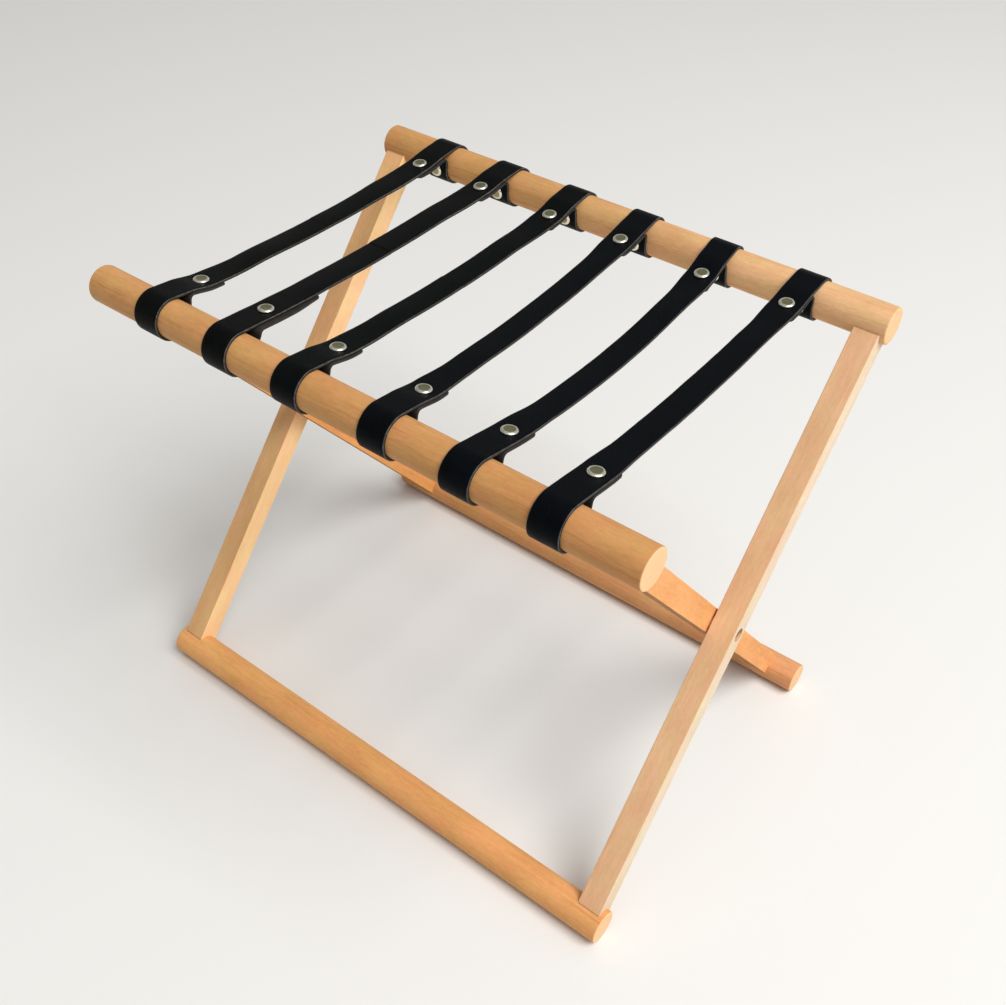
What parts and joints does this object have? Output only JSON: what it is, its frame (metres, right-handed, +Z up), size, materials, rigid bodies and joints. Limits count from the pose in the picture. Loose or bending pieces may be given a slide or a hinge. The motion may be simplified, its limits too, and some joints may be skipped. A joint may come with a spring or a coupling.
{
  "type": "luggage bench",
  "caption": "Folding wooden luggage bench: two crossed beech frames on one pivot, with black leather straps riveted round the round top rails.",
  "frame": {"origin": "on the floor, under the middle of the open bench", "axes": "+X along the rails, -Y towards the front, +Z up"},
  "size_m": [0.6, 0.4416, 0.5208],
  "materials": {
    "rail_beech": "clear satin lacquer",
    "leg_beech": "clear satin lacquer",
    "dowel_beech": "bare",
    "black_leather": "smooth, soft sheen",
    "cap_brass": "pale, polished",
    "pivot_steel": "zinc plated"
  },
  "bodies": {
    "outer_frame": {"back_top_rail": "rail_beech", "front_bottom_rail": "rail_beech", "outer_leg_left": "leg_beech", "outer_leg_right": "leg_beech", "outer_frame_dowels": "dowel_beech", "back_loop_screws": "cap_brass"},
    "inner_frame": {"front_top_rail": "rail_beech", "back_bottom_rail": "rail_beech", "inner_leg_left": "leg_beech", "inner_leg_right": "leg_beech", "inner_frame_dowels": "dowel_beech", "front_loop_screws": "cap_brass", "pivot_bolt_left": "pivot_steel", "pivot_bolt_right": "pivot_steel", "insert_nut_left": "pivot_steel", "insert_nut_right": "pivot_steel", "pivot_washer_left": "pivot_steel", "pivot_washer_right": "pivot_steel"},
    "back_straps": {"strap_1": "black_leather", "strap_2": "black_leather", "strap_3": "black_leather", "strap_4": "black_leather", "strap_5": "black_leather", "strap_6": "black_leather", "back_rivet_caps": "cap_brass", "back_rivet_backs": "cap_brass"},
    "front_straps": {"front_rivet_caps": "cap_brass", "front_rivet_backs": "cap_brass"}
  },
  "joints": [
    {"name": "fold", "type": "hinge", "parent": "outer_frame", "child": "inner_frame", "pos_m": [0, 0, 0.2585], "axis": [-1, 0, 0], "range_deg": [0, 69.3]},
    {"name": "back_strap_swing", "type": "hinge", "parent": "outer_frame", "child": "back_straps", "pos_m": [0, 0.2, 0.5], "axis": [1, 0, 0], "range_deg": [0, 50.5], "deforming": ["strap_1", "strap_2", "strap_3", "strap_4", "strap_5", "strap_6"]},
    {"name": "front_strap_swing", "type": "hinge", "parent": "inner_frame", "child": "front_straps", "pos_m": [0, -0.2, 0.5], "axis": [-1, 0, 0], "range_deg": [0, 50.5]}
  ],
  "couplings": [
    {"joint": "back_strap_swing", "follows": "fold", "ratio": 0.7255},
    {"joint": "front_strap_swing", "follows": "fold", "ratio": 0.7255}
  ]
}
